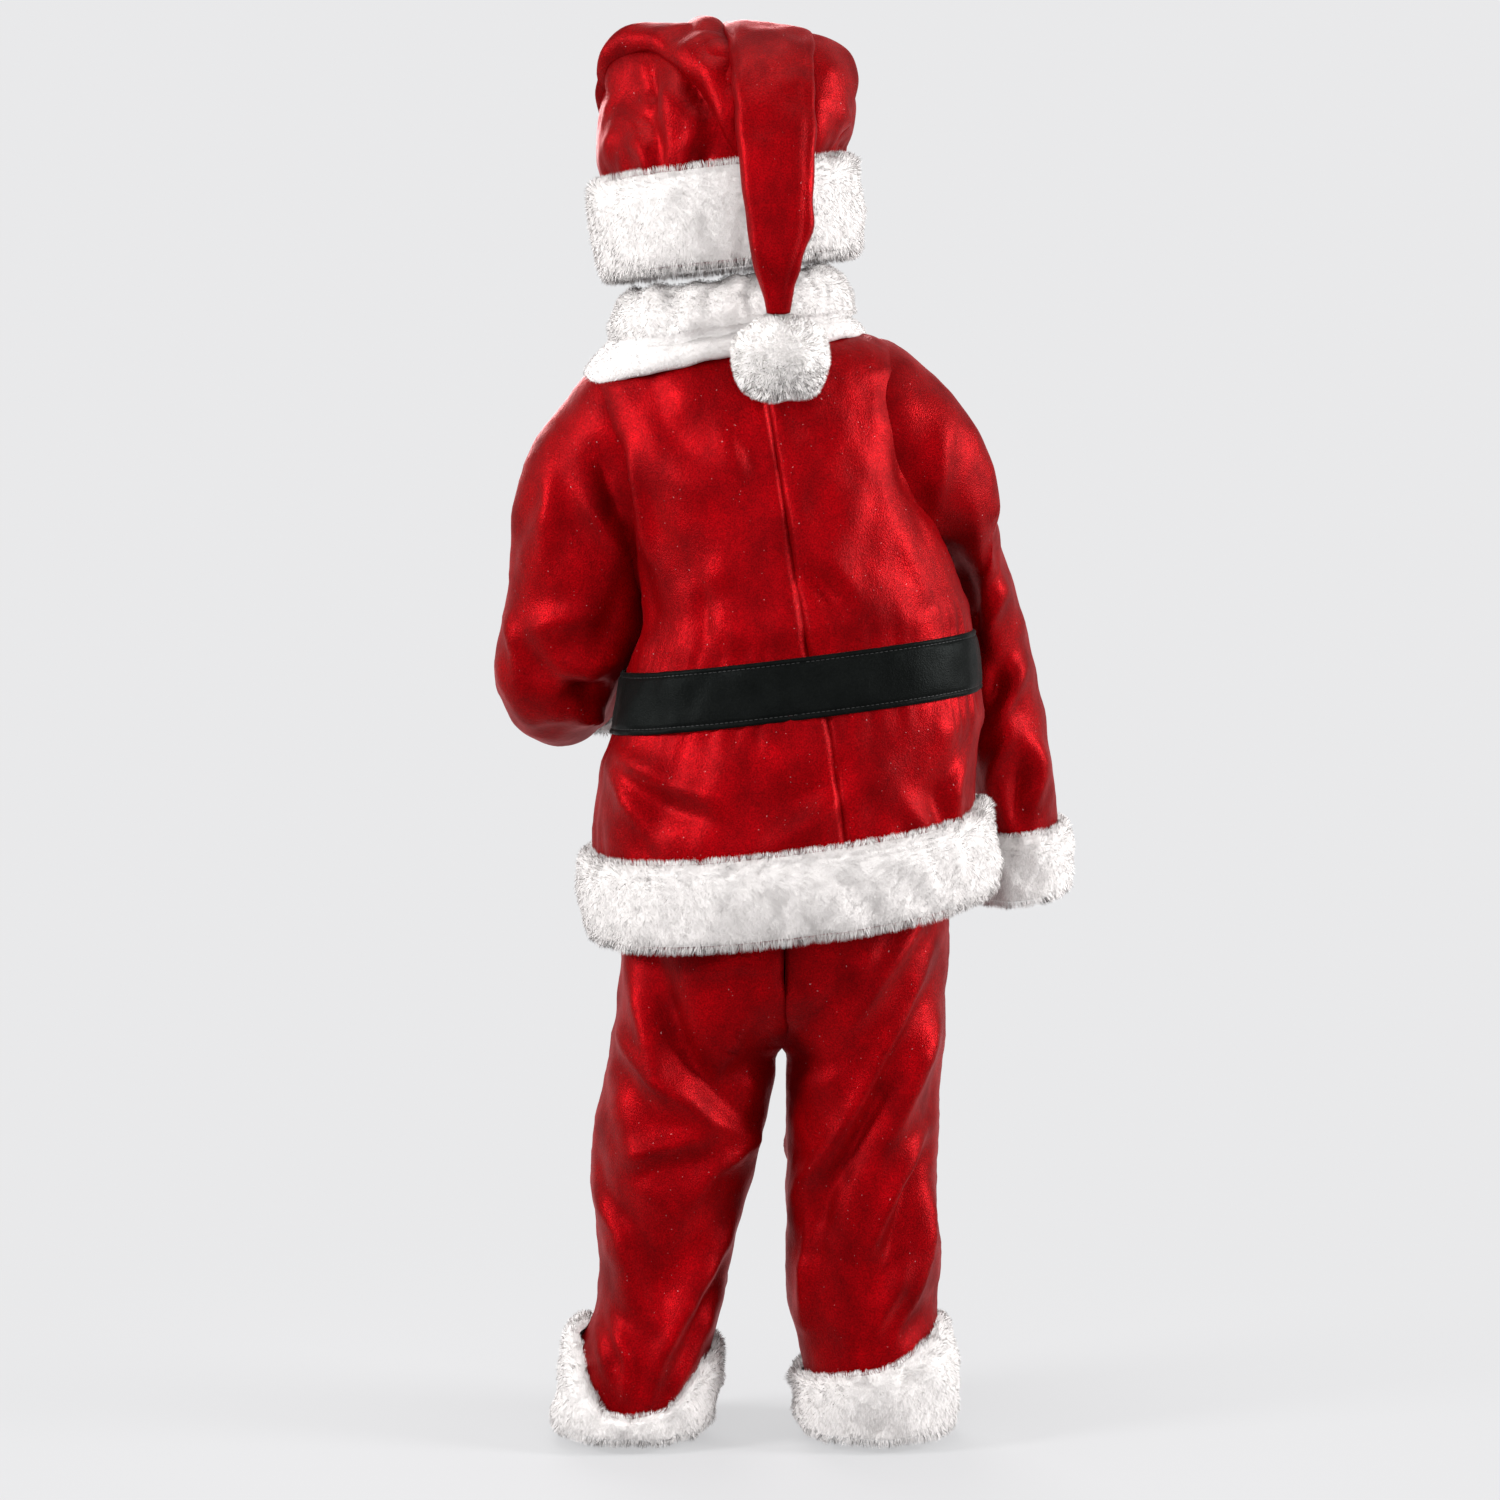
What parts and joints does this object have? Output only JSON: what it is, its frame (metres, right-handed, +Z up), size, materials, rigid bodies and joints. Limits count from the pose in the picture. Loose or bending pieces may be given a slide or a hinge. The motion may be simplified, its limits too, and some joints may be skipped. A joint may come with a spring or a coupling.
{
  "type": "santa suit",
  "caption": "Child's red velvet santa suit as worn: folded pompom hat, belted jacket with plush collar and hem, and trousers with plush cuffs.",
  "frame": {"origin": "base of the neck, in the middle of the jacket's neck opening, where the suit hangs from the wearer's shoulders", "axes": "+Z up, -Y towards the wearer's front, +X towards the wearer's left"},
  "size_m": [0.4104, 0.3067, 0.9794],
  "materials": {
    "red_velvet": "deep red short-pile velvet with a soft sheen",
    "black_velvet": "black short-pile velvet",
    "white_plush": "warm white long-pile plush"
  },
  "bodies": {
    "root": {"jacket_back_left": "red_velvet", "jacket_back_right": "red_velvet", "jacket_front_left": "red_velvet", "jacket_front_right": "red_velvet", "sleeve_left": "red_velvet", "sleeve_right": "red_velvet", "leg_back_left": "red_velvet", "leg_back_right": "red_velvet", "leg_front_left": "red_velvet", "leg_front_right": "red_velvet", "hat_crown": "red_velvet", "hat_tail": "red_velvet", "belt": "black_velvet", "jacket_hem": "white_plush", "collar": "white_plush", "sleeve_cuff_left": "white_plush", "sleeve_cuff_right": "white_plush", "leg_cuff_left": "white_plush", "leg_cuff_right": "white_plush", "hat_band": "white_plush", "hat_pompom": "white_plush"}
  },
  "joints": []
}
